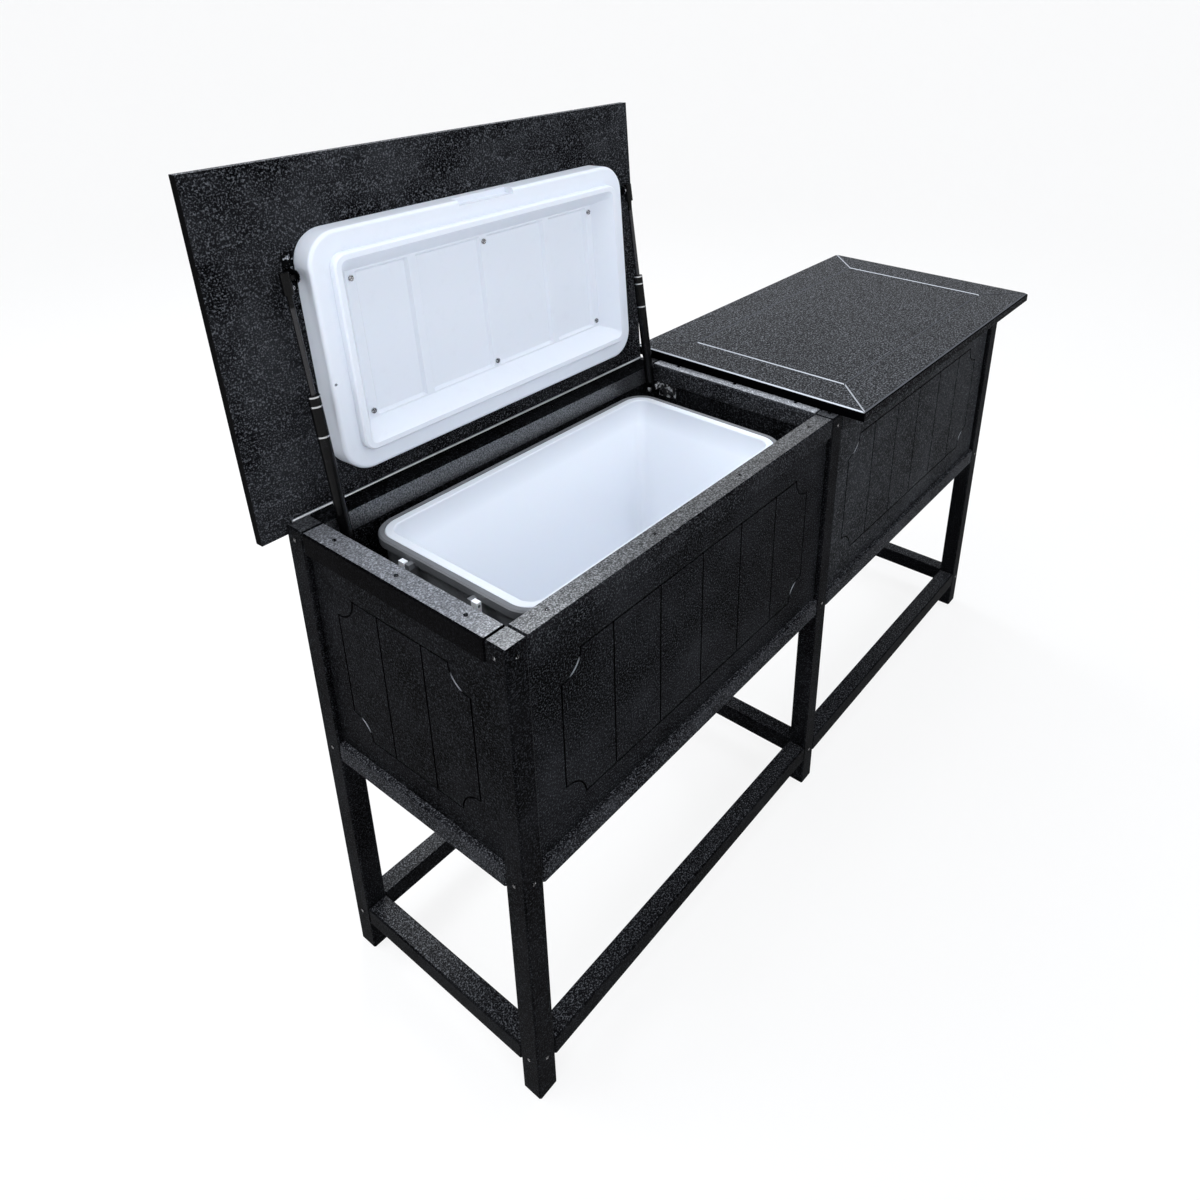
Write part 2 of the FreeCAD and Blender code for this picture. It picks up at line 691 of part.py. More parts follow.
def cooler_lid(bay):
    """The white moulded lid that plugs the cooler, hung under the table lid."""
    body = new_body("cooler_lid_" + bay)
    block = new_sketch(body, lift="lid_lift")
    centred_round(block, "0", "plug_lid_y", "plug_lid_length", "plug_lid_width", "plug_lid_radius")
    skirt = pad(body, block, "plug_lid_height", flip=True)
    low = value("lid_lift - plug_lid_height")
    dress(body, "Fillet", edges_where(skirt, at_height(low)), Radius="plug_lid_round")
    ring = new_sketch(body, lift="lid_lift - plug_lid_height")
    centred_round(ring, "0", "plug_lid_y", "plug_ring_length", "plug_ring_width", "plug_ring_radius")
    plug = pad(body, ring, "plug_depth", flip=True)
    foot = value("lid_lift - recess_top")
    dress(body, "Chamfer", edges_where(plug, at_height(foot)), Size="plug_bevel")
    recess = new_sketch(body, lift="lid_lift - recess_top")
    centred_round(recess, "0", "plug_lid_y", "plug_ring_length - 2 * plug_wall",
                  "plug_ring_width - 2 * plug_wall", "recess_radius")
    pocket(body, recess, "recess_top - recess_floor", flip=True, draft="-recess_slope")
    hollow_fields(body)
    notch = new_sketch(body, lift="lid_lift - plug_lid_height")
    front = "plug_lid_y - plug_lid_width / 2"
    rectangle(notch, "-latch_notch_length / 2", front + " - overshoot",
              "latch_notch_length / 2", front + " + latch_notch_depth")
    pocket(body, notch, "plug_lid_height - recess_floor", flip=True)
    vent = new_sketch(body, lift="lid_lift - plug_lid_height")
    circle(vent, "-plug_lid_length / 2 + vent_end", "plug_lid_y + vent_side", "vent_radius")
    pocket(body, vent, "recess_floor / 2", flip=True)
    on_lid(body, bay)
    keep(body, "cooler_lid_" + bay)


def hollow_fields(body):
    """Four hollow fields between the ribs of the recess."""
    fields = new_sketch(body, lift="lid_lift - recess_floor")
    half = "rib_width / 2"
    spans = [
        ("-field_end", "-rib_spacing - " + half),
        ("-rib_spacing + " + half, "-" + half),
        (half, "rib_spacing - " + half),
        ("rib_spacing + " + half, "field_end"),
    ]
    for left, right in spans:
        rectangle(fields, left, "plug_lid_y - field_half_width",
                  right, "plug_lid_y + field_half_width")
    pocket(body, fields, "field_depth", flip=True, draft="-field_slope")


def hinge_leaf(bay, which):
    """A leaf of the long hinge with its rolled knuckles."""
    body = new_body("hinge_%s_leaf_%s" % (which, bay))
    left, right = lid_span(bay)
    inset = {"left": "hinge_end_inset", "right": "hinge_inner_inset"}[bay]
    start = "%s + %s" % (left, inset)
    reach = "barrel_radius + knuckle_gap"
    side = "barrel_radius + barrel_clearance"
    if which == "frame":
        plate = ("-(%s)" % side, "-(%s) - leaf_width" % reach,
                 "-(%s) + leaf_thickness" % side, "-(%s)" % reach)
        tab = ("-(%s)" % side, "-(%s) - leaf_thickness" % reach,
               "-(%s) + leaf_thickness" % side, "0")
        first = start
    else:
        plate = (reach, "%s - leaf_thickness" % side,
                 reach + " + lid_leaf_width", side)
        tab = ("0", "%s - leaf_thickness" % side,
               reach + " + leaf_thickness", side)
        first = start + " + knuckle_pitch"
    sheet = new_sketch(body, "YZ_Plane", start)
    rectangle(sheet, *plate)
    pad(body, sheet, "hinge_length")
    neck = new_sketch(body, "YZ_Plane", first)
    rectangle(neck, *tab)
    tabs = pad(body, neck, "knuckle_pitch - knuckle_gap")
    roll = new_sketch(body, "YZ_Plane", first)
    circle(roll, "0", "0", "barrel_radius")
    barrels = pad(body, roll, "knuckle_pitch - knuckle_gap")
    repeat(body, [tabs, barrels], "knuckles", "2 * knuckle_pitch")
    bore = new_sketch(body, "YZ_Plane", start)
    circle(bore, "0", "0", "pin_radius + pin_clearance")
    pocket(body, bore, "hinge_length + overshoot", flip=True)
    if which == "frame":
        place(body, bay + "_bay", "hinge_y", "hinge_z")
    else:
        on_lid(body, bay)
    keep(body, body.Label.replace("_body", ""))


def hinges():
    pins = []
    for bay in ("left", "right"):
        hinge_leaf(bay, "frame")
        hinge_leaf(bay, "lid")
        left = lid_span(bay)[0]
        inset = {"left": "hinge_end_inset", "right": "hinge_inner_inset"}[bay]
        pin = doc.addObject("Part::Cylinder", "hinge_pin_" + bay)
        bind(pin, Radius="pin_radius", Height="hinge_length")
        place(pin, "%s_bay %s + %s" % (bay, "- lid_outer" if bay == "left" else "- lid_inner", inset),
              "hinge_y", "hinge_z", axis=(0, 1, 0), angle="90")
        pins.append(pin)
    group("hinge_pins", pins)


def rim_ring(body, z, inset):
    """A sketch of the rim's outline at a height, moved inwards."""
    sketch = new_sketch(body, lift=z)
    centred_round(sketch, "0", "0", "rim_length - 2 * (%s)" % inset,
                  "rim_width - 2 * (%s)" % inset, "rim_radius - (%s)" % inset)
    return sketch


def clipped(body, z, inset, corner, side):
    """A sketch of the rim's outline at a height, moved inwards, with straight corners.

    The straight corners stay outside or inside a round corner of the given radius.
    """
    half_x = "(rim_length / 2 - (%s))" % inset
    half_y = "(rim_width / 2 - (%s))" % inset
    clip = "(%s) * %s" % (corner, {"inside": "1.0", "outside": "(2 - sqrt(2))"}[side])
    points = []
    for sign_x, sign_y in ((1, -1), (1, 1), (-1, 1), (-1, -1)):
        x_end = "%d * %s" % (sign_x, half_x)
        y_end = "%d * %s" % (sign_y, half_y)
        x_cut = "%d * (%s - %s)" % (sign_x, half_x, clip)
        y_cut = "%d * (%s - %s)" % (sign_y, half_y, clip)
        corner_points = [(x_cut, y_end), (x_end, y_cut)]
        points += corner_points if sign_x * sign_y < 0 else corner_points[::-1]
    return profile(body, points, "XY_Plane", z)


def cooler(bay):
    """A drop-in cooler: shell, foam and liner, each from the rim's outline."""
    shell = new_body("cooler_shell_" + bay)
    body = pad(shell, rim_ring(shell, "0", "shell_inset"), "cooler_height")
    dress(shell, "Chamfer", edges_where(body, at_height(0.0)), Size="shell_bevel")
    lip = pad(shell, rim_ring(shell, "cooler_height - rim_height", "0"), "rim_height")
    top = value("cooler_height")
    dress(shell, "Chamfer", edges_where(lip, at_height(top)), Size="rim_bevel")
    bail_lugs(shell)
    pocket(shell, rim_ring(shell, "shell_wall", "shell_inset + shell_wall"),
           "cooler_height - shell_wall + overshoot", flip=True)
    pocket(shell, rim_ring(shell, "cooler_height - liner_wall", "rim_lip"),
           "liner_wall + overshoot", flip=True)
    place(shell, bay + "_bay", "cooler_centre", "deck_top")
    keep(shell, "cooler_shell_" + bay)

    foam = new_body("cooler_foam_" + bay)
    outside = "shell_inset + shell_wall + foam_clearance"
    block = clipped(foam, "shell_wall", outside, "rim_radius - (%s)" % outside, "inside")
    pad(foam, block, "cooler_height - shell_wall - liner_wall")
    skin = "liner_inset - liner_wall"
    corner = "rim_radius - liner_inset"
    hollow = clipped(foam, "cooler_height - liner_wall", skin + " - foam_clearance", corner, "outside")
    pocket(foam, hollow, "cooler_height - liner_floor - liner_wall", draft="-liner_draft")
    place(foam, bay + "_bay", "cooler_centre", "deck_top")
    keep(foam, "cooler_foam_" + bay)

    liner = new_body("cooler_liner_" + bay)
    pad(liner, clipped(liner, "cooler_height - liner_wall", skin, corner, "outside"),
        "cooler_height - liner_floor - liner_wall", flip=True, draft="-liner_draft")
    pad(liner, rim_ring(liner, "cooler_height - liner_wall", "rim_lip + foam_clearance"), "liner_wall")
    inner = "liner_inset + (cooler_height - liner_floor - liner_wall) * tan(liner_draft)"
    tub = pocket(liner, rim_ring(liner, "liner_floor + liner_wall", inner),
                 "cooler_height - liner_floor - liner_wall", flip=True, draft="liner_draft")
    floor = value("liner_floor + liner_wall")
    dress(liner, "Fillet", edges_where(tub, mouth_edge(floor)), Radius="liner_round")
    dress(liner, "Chamfer", edges_where(liner.Tip, mouth_edge(top)), Size="mouth_bevel")
    place(liner, bay + "_bay", "cooler_centre", "deck_top")
    keep(liner, "cooler_liner_" + bay)


def mouth_edge(z):
    """Test: an edge that lies flat at a height, no further out than the liner's mouth."""
    flat = at_height(z)
    reach_x = value("rim_length / 2 - liner_inset") + SLACK
    reach_y = value("rim_width / 2 - liner_inset") + SLACK

    def test(edge):
        box = edge.BoundBox
        return flat(edge) and box.XMax <= reach_x and box.YMax <= reach_y and box.YMin >= -reach_y
    return test


def bail_lugs(shell):
    """Lugs under the lip at both ends, with the pins that carry the bail handles."""
    pivot_x = "rim_length / 2 + bail_standoff"
    height = "cooler_height - bail_below_rim"
    inner_x = "rim_length / 2 - shell_inset - shell_wall / 2"
    outer_x = pivot_x + " + bail_pin_radius"
    face = "(bail_spread - bail_arm / 2 - bail_clearance)"
    for end in ("", "-"):
        span = (inner_x, outer_x) if end == "" else ("-(%s)" % outer_x, "-(%s)" % inner_x)
        for back in (True, False):
            level = "-" + face if back else face
            lug = new_sketch(shell, "XZ_Plane", level)
            rectangle(lug, span[0], height + " - lug_half_height", span[1], height + " + lug_half_height")
            pad(shell, lug, "lug_width", flip=not back)
            pin = new_sketch(shell, "XZ_Plane", level)
            circle(pin, "%s(%s)" % (end, pivot_x), height, "bail_pin_radius")
            pad(shell, pin, "bail_arm + bail_clearance", flip=back)


def bail(bay, end):
    """A white bail handle that hangs on the shell's lugs."""
    body = new_body("bail_%s_%s" % (bay, end))
    outer = "bail_spread + bail_arm / 2"
    plate = new_sketch(body, "YZ_Plane")
    cornered(plate, "-(%s)" % outer, "-bail_drop", outer, "bail_top + bail_corner",
             "bail_corner", "bail_corner")
    pad(body, plate, "bail_thickness", both=True)
    trim = new_sketch(body, "YZ_Plane")
    rectangle(trim, "-(%s) - overshoot" % outer, "bail_top",
              outer + " + overshoot", "bail_top + bail_corner + overshoot")
    pocket(body, trim, "2 * bail_thickness", both=True)
    window = new_sketch(body, "YZ_Plane")
    inner = "bail_spread - bail_arm / 2"
    rectangle(window, "-(%s)" % inner, "bail_grip - bail_drop", inner, "bail_top + overshoot")
    pocket(body, window, "2 * bail_thickness", both=True)
    bore = new_sketch(body, "XZ_Plane")
    circle(bore, "0", "0", "bail_pin_radius + pin_clearance")
    pocket(body, bore, "4 * bail_spread", both=True)
    sign = "-" if end == "left" else "+"
    place(body, "%s_bay %s (rim_length / 2 + bail_standoff)" % (bay, sign), "cooler_centre",
          "rim_top - bail_below_rim")
    keep(body, "bail_%s_%s" % (bay, end))


def profile(body, points, role="XZ_Plane", lift="0"):
    """A closed outline through points given as expression pairs."""
    sketch = new_sketch(body, role, lift)
    spots = [Vector(value(x), value(y)) for x, y in points]
    count = len(spots)
    for index in range(count):
        sketch.addGeometry(Part.LineSegment(spots[index], spots[(index + 1) % count]), False)
    for index in range(count):
        sketch.addConstraint(Sketcher.Constraint("Coincident", index, 2, (index + 1) % count, 1))
    for index, (x, y) in enumerate(points):
        limit(sketch, x, "DistanceX", -1, 1, index, 1)
        limit(sketch, y, "DistanceY", -1, 1, index, 1)
    return sketch


def revolve(body, sketch, axis="V_Axis"):
    feature = body.newObject("PartDesign::Revolution", "revolution")
    feature.Profile = sketch
    feature.ReferenceAxis = (sketch, [axis])
    feature.Angle = 360.0
    sketch.Visibility = False
    body.Tip = feature
    return feature


def strut_tilt(body, bay, side, along="0"):
    """Place a piece drawn along +Z from the lower pivot, on the strut's line."""
    state = "open" if bay == "left" else "closed"
    tilt = state + "_tilt"
    sign = "-" if side == "left" else "+"
    reach = "(%s)" % along
    place(
        body,
        "%s_bay %s strut_x" % (bay, sign),
        "strut_setback - %s * cos(%s)" % (reach, tilt),
        "strut_height + %s * sin(%s)" % (reach, tilt),
        axis=(1, 0, 0), angle="90 deg - " + tilt,
    )


def eye_corner(edge):
    """Test: a lower edge of the block round a strut's eye, along the stud."""
    box = edge.BoundBox
    return box.XLength > SLACK and box.ZMax < SLACK - value("eye_radius")


def strut_cylinder(bay, side):
    """The gas strut's cylinder: an eye on the frame's stud and a body bored for the rod."""
    body = new_body("strut_cylinder_%s_%s" % (bay, side))
    hole_radius = "rod_radius + rod_clearance"
    radius = "strut_body_radius"
    start, top = "strut_body_start", "strut_body_end"
    revolve(body, profile(body, [
        (hole_radius, top),
        (radius, top),
        (radius, start),
        ("0", start),
        ("0", start + " + strut_floor"),
        (hole_radius, start + " + strut_floor"),
    ]))
    eye = new_sketch(body, "YZ_Plane")
    rectangle(eye, "-eye_radius", "-eye_radius", "eye_radius", start + " + overshoot")
    block = pad(body, eye, "eye_width", both=True)
    dress(body, "Chamfer", edges_where(block, eye_corner), Size="eye_radius / 2")
    hole = new_sketch(body, "YZ_Plane")
    circle(hole, "0", "0", "stud_radius + stud_clearance")
    pocket(body, hole, "2 * eye_width", both=True)
    strut_tilt(body, bay, side)
    keep(body, "strut_cylinder_%s_%s" % (bay, side))


def strut_rod(bay, side):
    """The rod, and the ball socket with the upper stud."""
    body = new_body("strut_rod_%s_%s" % (bay, side))
    foot = "rod_rest - closed_length"
    points = [
        ("0", foot),
        ("rod_radius", foot),
        ("rod_radius", "-socket_below"),
        ("socket_radius", "-socket_below"),
        ("socket_radius", "socket_above"),
        ("0", "socket_above"),
    ]
    revolve(body, profile(body, points))
    stud = new_sketch(body, "YZ_Plane")
    rectangle(stud, "-stud_radius", "-stud_radius", "stud_radius", "stud_radius")
    pad(body, stud, "ear_offset - stud_gap", flip=side == "right")
    state = "open" if bay == "left" else "closed"
    strut_tilt(body, bay, side, along=state + "_length")
    keep(body, "strut_rod_%s_%s" % (bay, side))


def frame_bracket(bay, side):
    """A plate on the board beside the strut, with the stud that carries the cylinder."""
    body = new_body("strut_frame_bracket_%s_%s" % (bay, side))
    away = "-" if side == "left" else ""
    wall = "%swall_reach" % away
    plate = new_sketch(body, "YZ_Plane", wall)
    rectangle(plate, "frame_bracket_behind - frame_bracket_length",
              "frame_bracket_above - frame_bracket_height",
              "frame_bracket_behind", "frame_bracket_above")
    pad(body, plate, "bracket_thickness", flip=side == "right")
    shoulder = new_sketch(body, "YZ_Plane", wall)
    rectangle(shoulder, "-stud_shoulder", "-stud_shoulder", "stud_shoulder", "stud_shoulder")
    pad(body, shoulder, "wall_reach - eye_width / 2 - stud_gap", flip=side == "right")
    pin = new_sketch(body, "YZ_Plane", wall)
    circle(pin, "0", "0", "stud_radius")
    pad(body, pin, "wall_reach + eye_width / 2 + stud_gap + stud_cap", flip=side == "right")
    cap = new_sketch(body, "YZ_Plane", "%s(eye_width / 2 + stud_gap)" % ("" if side == "left" else "-"))
    rectangle(cap, "-stud_shoulder", "-stud_shoulder", "stud_shoulder", "stud_shoulder")
    pad(body, cap, "stud_cap", flip=side == "right")
    sign = "-" if side == "left" else "+"
    place(body, "%s_bay %s strut_x" % (bay, sign), "strut_setback", "strut_height")
    return body


def lid_bracket(bay, side):
    """A plate under the table lid with an ear beside the strut's upper stud."""
    body = new_body("strut_lid_bracket_%s_%s" % (bay, side))
    sign, other = ("-", "+") if side == "left" else ("+", "-")
    ear_x = "%sstrut_x %s ear_offset" % (sign, other)
    far_x = "%s %s lid_bracket_width" % (ear_x, other)
    left, right = (ear_x, far_x) if side == "left" else (far_x, ear_x)
    plate = new_sketch(body, lift="lid_lift")
    rectangle(plate, left, "-strut_lid_reach - lid_bracket_length / 2",
              right, "-strut_lid_reach + lid_bracket_length / 2")
    pad(body, plate, "bracket_thickness", flip=True)
    ear = new_sketch(body, "YZ_Plane", ear_x)
    rectangle(ear, "-strut_lid_reach - ear_radius", "pivot_lift",
              "-strut_lid_reach + ear_radius", "lid_lift")
    pad(body, ear, "bracket_thickness", flip=side == "right")
    tip = new_sketch(body, "YZ_Plane", ear_x)
    circle(tip, "-strut_lid_reach", "pivot_lift", "ear_radius")
    pad(body, tip, "bracket_thickness", flip=side == "right")
    on_lid(body, bay)
    return body


def screw_head(kind):
    """A low faceted screw head that stands on the XY plane."""
    radius, facets = value(kind + "_radius"), int(value(kind + "_facets"))
    turns = [2 * math.pi * step / facets for step in range(facets)]
    corners = [Vector(radius * math.cos(turn), radius * math.sin(turn), 0) for turn in turns]
    outline = Part.makePolygon(corners + [corners[0]])
    return Part.Face(outline).extrude(Vector(0, 0, value(kind + "_height")))


def turned(shape, point, normal):
    """A copy of a shape with its Z axis along a normal, at a point."""
    copy = shape.copy()
    turn = FreeCAD.Rotation(Vector(0, 0, 1), normal)
    copy.Placement = FreeCAD.Placement(point, turn)
    return copy


def frame_screws():
    """Heads of the screws in the rails, the posts and the frame's strut brackets."""
    lumber_size, depth, bay = value("lumber"), value("frame_depth"), value("bay_length")
    pitch, top, length = value("bay_pitch"), value("table_height"), value("frame_length")
    inset = value("rail_screw_inset")
    heads = []
    small = screw_head("screw")

    def row(count, span):
        return [inset + (span - 2 * inset) * step / (count - 1) for step in range(int(count))]

    for start in (lumber_size, lumber_size + pitch):
        for along in row(value("front_rail_screws"), bay):
            for y in (lumber_size / 2, depth - lumber_size / 2):
                heads.append((Vector(start + along, y, top), Vector(0, 0, 1)))
    for column in range(3):
        for along in row(value("end_rail_screws"), value("end_panel_length")):
            x = column * pitch + lumber_size / 2
            heads.append((Vector(x, lumber_size + along, top), Vector(0, 0, 1)))
    heads.append((Vector(pitch + lumber_size / 2, lumber_size / 2, top), Vector(0, 0, 1)))
    levels = (
        top - lumber_size / 2,
        value("bottom_rail_top") - lumber_size / 2,
        value("stretcher_centre"),
    )
    for z in levels:
        for column in range(3):
            x = column * pitch + lumber_size / 2
            heads.append((Vector(x, 0, z), Vector(0, -1, 0)))
            if z < levels[0]:
                heads.append((Vector(x, depth, z), Vector(0, 1, 0)))
        for y in (lumber_size / 2, depth - lumber_size / 2):
            heads.append((Vector(0, y, z), Vector(-1, 0, 0)))
            heads.append((Vector(length, y, z), Vector(1, 0, 0)))
    solids = [turned(small, point, normal) for point, normal in heads]
    solids += [turned(small, point, normal) for point, normal in bracket_screw_places()]
    node = doc.addObject("Part::Feature", "frame_screws_shape")
    node.Shape = Part.makeCompound(solids)
    node.Placement = FreeCAD.Placement(Vector(-value("origin_x"), -value("origin_y"), 0), FreeCAD.Rotation())
    keep(node, "frame_screws")


def bracket_screw_places():
    """Two screws in each plate of the struts' frame brackets."""
    places = []
    y = value("strut_setback + frame_bracket_behind - frame_bracket_length / 2")
    z = value("strut_height + frame_bracket_above - frame_bracket_height + 2 * screw_radius")
    offset = value("wall_reach - bracket_thickness")
    for bay in ("left_bay", "right_bay"):
        for sign in (-1, 1):
            x = value(bay) + sign * (value("strut_x") + offset)
            for step in (-0.5, 0.5):
                point = Vector(x, y + step * value("plate_screw_spacing"), z)
                places.append((point, Vector(-sign, 0, 0)))
    return places


def lid_screws(bay):
    """Screws that hold the cooler lid and the strut brackets under a table lid."""
    head = screw_head("lid_screw")
    under = value("lid_lift")
    down = Vector(0, 0, -1)
    solids = []
    for x in (-value("lid_screw_end"), 0.0, value("lid_screw_end")):
        for side in (-1, 1):
            y = value("plug_lid_y") + side * value("lid_screw_side")
            solids.append(turned(head, Vector(x, y, under - value("recess_floor")), down))
    small = screw_head("screw")
    middle = value("strut_x - ear_offset - lid_bracket_width / 2")
    for x in (-middle, middle):
        for step in (-0.5, 0.5):
            y = -value("strut_lid_reach") + step * value("bracket_screw_spacing")
            point = Vector(x, y, under - value("bracket_thickness"))
            solids.append(turned(small, point, down))
    node = doc.addObject("Part::Feature", "lid_screws_" + bay + "_shape")
    node.Shape = Part.makeCompound(solids)
    angle = value("open_angle") if bay == "left" else 0.0
    base = Vector(value(bay + "_bay - origin_x"), value("hinge_y - origin_y"), value("hinge_z"))
    node.Placement = FreeCAD.Placement(base, FreeCAD.Rotation(Vector(-1, 0, 0), angle))
    keep(node, "lid_screws_" + bay)


def check_and_write():
    """Stop on any failed object, then write one file per node."""
    doc.recompute()
    for item in doc.Objects:
        if any(word in item.State for word in ("Invalid", "Error")):
            raise RuntimeError("%s failed: %s" % (item.Name, item.State))
    for node in nodes:
        if node.Shape.isNull() or not node.Shape.isValid():
            raise RuntimeError("%s has no valid shape" % node.Label)
    os.makedirs("parts", exist_ok=True)
    for node in nodes:
        node.Shape.exportStep("parts/%s.step" % node.Label)
        print("%-34s solids %2d volume %12.0f" % (node.Label, len(node.Shape.Solids), node.Shape.Volume))


frame()
panels()
decks()
hinges()
for bay_name in ("left", "right"):
    table_lid(bay_name)
    cooler(bay_name)
    cooler_lid(bay_name)
    for side_name in ("left", "right"):
        bail(bay_name, side_name)
        strut_cylinder(bay_name, side_name)
        strut_rod(bay_name, side_name)
    group("strut_lid_brackets_" + bay_name, [lid_bracket(bay_name, side) for side in ("left", "right")])
    lid_screws(bay_name)
group("strut_frame_brackets", [
    frame_bracket(bay, side) for bay in ("left", "right") for side in ("left", "right")
])
frame_screws()
check_and_write()
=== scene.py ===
import json
import math

import bmesh
import bpy
from mathutils import Euler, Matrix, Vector

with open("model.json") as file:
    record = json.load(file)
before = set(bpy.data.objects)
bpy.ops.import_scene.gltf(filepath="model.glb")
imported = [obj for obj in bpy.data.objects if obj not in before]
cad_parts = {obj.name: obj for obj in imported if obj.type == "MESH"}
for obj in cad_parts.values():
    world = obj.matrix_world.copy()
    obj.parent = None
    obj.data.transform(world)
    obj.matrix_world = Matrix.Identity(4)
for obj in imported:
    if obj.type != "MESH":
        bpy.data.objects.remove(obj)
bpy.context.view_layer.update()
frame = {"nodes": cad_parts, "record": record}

UP = Vector((0.0, 0.0, 1.0))
LEFT, RIGHT = Vector((-1.0, 0.0, 0.0)), Vector((1.0, 0.0, 0.0))
FRONT, BACK = Vector((0.0, -1.0, 0.0)), Vector((0.0, 1.0, 0.0))
ORIGIN = Vector((0.0, 0.0, 0.0))

# The lids turn about a line along X through this point. They are stored one open, one closed.
HINGE = Vector((0.0, 0.2277087, 0.8874))
LID_ANGLE = {"left": math.radians(93.7), "right": 0.0}

# Depths between which a surface is a tool cut: of a lid from the hinge line, of a skirt panel
# from its outer face. The outer faces stand this far from the middle of the table.
LID_TOP = 0.0216
LID_CUTS = (LID_TOP - 0.0022, LID_TOP - 0.0001)
SKIRT_CUTS = (-0.0032, -0.0001)
SKIRT_FRONT, SKIRT_BACK, SKIRT_END = 0.2224, 0.2156, 0.8160

# A strut's foot on the frame, and its direction under the open and the closed lid
STRUT_FOOT = (0.0, 0.170109, 0.846)
STRUT_OPEN, STRUT_CLOSED = (0.0, 0.1396, 0.9902), (0.0, -0.9984, 0.0567)

# Stretches of a strut in another tone, as their distances from the foot and half their length:
# the rings rolled into the cylinder, and the rod up to its socket
RINGS = ((0.1738, 0.2199, 0.2340), 0.0012)
OPEN_SHAFT, CLOSED_SHAFT = ((0.16,), 0.2032), ((0.10,), 0.16)

# Height below which the hinge leaves are dull, and the width of the change
DULL_LEAF_TOP, DULL_LEAF_EDGE = 0.8850, 0.0004

# Tones of surfaces, linear; a pair holds the two that a texture mixes
# Cuts are painted near black: painted shade in the grooves
CUT_PAINTED_SHADE = (0.0012, 0.0012, 0.0014)
# Painted highlights on the sides of cuts that face one way, bright and dim
PAINTED_BRIGHT_GLINT = (0.56, 0.58, 0.62)
PAINTED_FRONT_GLINT = (0.10, 0.103, 0.112)
SAWN = (0.0008, 0.0008, 0.001)
# The lids' front edges are painted paler, painted light: much paler on the open lid, whose front
# edge faces up
FRONT_EDGE_PAINTED_LIGHT = {"left": (0.50, 0.51, 0.54), "right": (0.055, 0.057, 0.062)}
ENAMEL = (0.002, 0.002, 0.0022), (0.0072, 0.0072, 0.00752)
RING_TONE, SHAFT_TONE = (0.55, 0.56, 0.58), (0.05, 0.05, 0.053)
STEEL = (0.82, 0.83, 0.86), (0.5904, 0.5976, 0.6192)
DULL_STEEL = (0.16, 0.163, 0.17), (0.30, 0.305, 0.315)
SHELL_TONES = (0.10, 0.103, 0.11), (0.20, 0.205, 0.215)
FOAM_TONES = (0.70, 0.62, 0.40), (0.82, 0.76, 0.56)

BLACK_IOR, ENAMEL_IOR = 1.035, 1.22
COAT_ROUGHNESS, STEEL_ROUGHNESS = 0.34, 0.32
ROD_ROUGHNESS, CYLINDER_ROUGHNESS = 0.2, 0.16

# How much rougher a surface is where it is worn, and how much of its tone scuffed plastic keeps
WORN_ROUGHER, BRUSHED_ROUGHER = 0.14, 0.16
SCUFFED = 0.96

# Share of its relief that a face of the boards shows: embossed, sawn and cut
GRAIN_STRENGTH, SAWN_STRENGTH, CUT_STRENGTH = 0.8, 0.15, 0.05

# Boards and lumber: tones of the pebbles' hollows and crests on the sides and on the tops, whose
# lighter tone stands for dusty plastic and is also painted light, grain per metre, relief in
# metres, and the weight and refractive index of the worn gloss. Where the copies below differ in
# tone, they are painted lighter or darker for the light or shade on those pieces.
BOARD = {
    "left": {
        "sides": ((0.0010, 0.0010, 0.0013), (0.115, 0.119, 0.130)),
        "dust_and_painted_light": ((0.010, 0.0105, 0.0115), (0.12, 0.125, 0.137)),
        "grain": 410.0, "relief": 0.0012, "gloss": 0.3, "coat": 1.5,
    },
    "right": {
        "sides": ((0.0010, 0.0010, 0.0013), (0.115, 0.119, 0.130)),
        "dust_and_painted_light": ((0.0055, 0.0057, 0.0065), (0.175, 0.182, 0.20)),
        "grain": 310.0, "relief": 0.0012, "gloss": 0.2, "coat": 1.5,
    },
}
SKIRT = {
    "sides": ((0.0004, 0.0004, 0.0005), (0.047, 0.049, 0.054)),
    "dust_and_painted_light": ((0.01, 0.0105, 0.0115), (0.09, 0.093, 0.102)),
    "grain": 360.0, "relief": 0.0008, "gloss": 0.4, "coat": 1.6,
}
# Copy for the right front panel, its sides painted lighter: painted light
FAR_SKIRT = dict(
    SKIRT,
    sides=((0.006, 0.0062, 0.0068), (0.078, 0.081, 0.088)),
    grain=330.0,
)
# Copy for the end panels, their sides painted darker: painted shade
END_SKIRT = dict(SKIRT, sides=((0.0004, 0.0004, 0.0005), (0.028, 0.029, 0.032)))
POST = {
    "sides": ((0.0005, 0.0005, 0.0006), (0.026, 0.027, 0.03)),
    "dust_and_painted_light": ((0.010, 0.0105, 0.0115), (0.15, 0.155, 0.17)),
    "grain": 400.0, "relief": 0.0005, "gloss": 0.9, "coat": 2.0,
}
# Copy for the front rails, their sides painted lighter than the posts': painted light
FRONT_RAIL = dict(
    POST,
    sides=((0.001, 0.001, 0.0012), (0.062, 0.064, 0.07)),
    gloss=0.65,
)
# Copy for the end rails: sides painted near black as painted shade, tops painted much lighter as
# painted light
END_RAIL = dict(
    POST,
    sides=((0.0003, 0.0003, 0.0004), (0.008, 0.008, 0.009)),
    dust_and_painted_light=((0.06, 0.0615, 0.067), (0.34, 0.35, 0.38)),
    coat=2.2,
)
